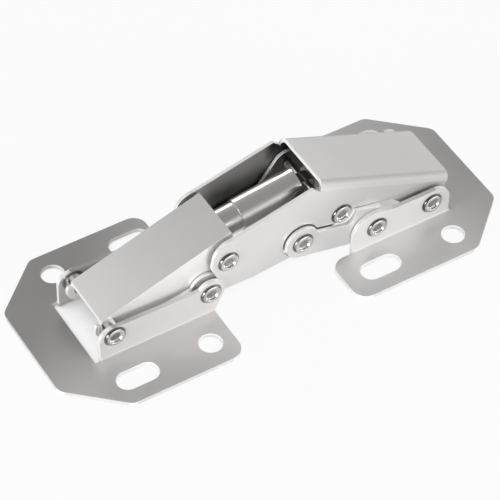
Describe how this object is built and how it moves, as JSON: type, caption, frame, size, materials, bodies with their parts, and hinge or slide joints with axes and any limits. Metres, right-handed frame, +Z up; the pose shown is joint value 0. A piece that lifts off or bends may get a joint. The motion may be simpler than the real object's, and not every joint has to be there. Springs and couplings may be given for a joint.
{
  "type": "surface-mounted concealed cabinet hinge",
  "caption": "Surface-mounted concealed cabinet hinge lying open flat: two slotted steel plates joined by a folding riveted linkage with a spring strut under a bridge cover.",
  "frame": {"origin": "on the resting plane of the two plates, midway along the open hinge and across it", "axes": "+X along the hinge from the cabinet plate to the door plate, +Z up from the plates to the bridge cover"},
  "size_m": [0.134, 0.056, 0.0299],
  "materials": {
    "satin_steel": "satin nickel plate over pressed steel sheet",
    "rivet_steel": "bright nickel plated rivets",
    "polished_steel": "polished drawn steel tube",
    "spring_steel": "dark spring wire"
  },
  "bodies": {
    "cabinet_plate": {"left_plate": "satin_steel", "arm_pivot_rivets": "rivet_steel", "arm_pivot_spacers": "rivet_steel", "lever_pivot_rivets": "rivet_steel", "lever_pivot_spacers": "rivet_steel"},
    "arm": {"inner_arm": "satin_steel", "strut_front_pin": "polished_steel", "arm_head_spacers": "rivet_steel"},
    "lever": {"near_lever": "satin_steel", "far_lever": "satin_steel", "link_lever_rivets": "rivet_steel", "link_spacers": "rivet_steel"},
    "bridge": {"bridge": "satin_steel", "bridge_arm_rivets": "rivet_steel", "bridge_lever_rivets": "rivet_steel"},
    "side_links": {"near_side_link": "satin_steel", "far_side_link": "satin_steel"},
    "door_plate": {"right_plate": "satin_steel", "link_plate_rivets": "rivet_steel", "bridge_plate_rivets": "rivet_steel", "bridge_plate_spacers": "rivet_steel"},
    "strut_front": {"strut_tube": "polished_steel", "strut_front_eye": "polished_steel", "strut_spring": "spring_steel"},
    "strut_rear": {"strut_sleeve": "polished_steel", "strut_rear_cap": "polished_steel", "strut_rear_pin": "polished_steel"}
  },
  "joints": [
    {"name": "lever_fold", "type": "hinge", "parent": "cabinet_plate", "child": "lever", "pos_m": [-0.02041, 0, 0.00843], "axis": [0, -1, 0], "range_deg": [0, 104.4]},
    {"name": "arm_fold", "type": "hinge", "parent": "cabinet_plate", "child": "arm", "pos_m": [-0.04872, 0, 0.00843], "axis": [0, -1, 0], "range_deg": [0, 115.55]},
    {"name": "bridge_fold", "type": "hinge", "parent": "lever", "child": "bridge", "pos_m": [0.01998, 0, 0.0156], "axis": [0, -1, 0], "range_deg": [-87.18, 0]},
    {"name": "link_fold", "type": "hinge", "parent": "lever", "child": "side_links", "pos_m": [0.00746, 0, 0.0122], "axis": [0, -1, 0], "range_deg": [-107.55, 0]},
    {"name": "door_fold", "type": "hinge", "parent": "bridge", "child": "door_plate", "pos_m": [0.04743, 0, 0.00731], "axis": [0, -1, 0], "range_deg": [0, 72.79]},
    {"name": "strut_swing", "type": "hinge", "parent": "arm", "child": "strut_front", "pos_m": [-0.01444, 0, 0.01613], "axis": [0, -1, 0], "range_deg": [-119.11, 0]},
    {"name": "strut_slide", "type": "slide", "parent": "strut_front", "child": "strut_rear", "axis": [0.9897, 0, 0.1431], "range_m": [-0.0026, 0], "stiffness_N_per_m": 500}
  ],
  "couplings": [
    {"joint": "arm_fold", "follows": "lever_fold", "ratio": 1.1063},
    {"joint": "bridge_fold", "follows": "lever_fold", "ratio": -0.83461},
    {"joint": "door_fold", "follows": "lever_fold", "ratio": 0.69671},
    {"joint": "link_fold", "follows": "lever_fold", "ratio": -1.0297},
    {"joint": "strut_swing", "follows": "lever_fold", "ratio": -1.1404}
  ]
}
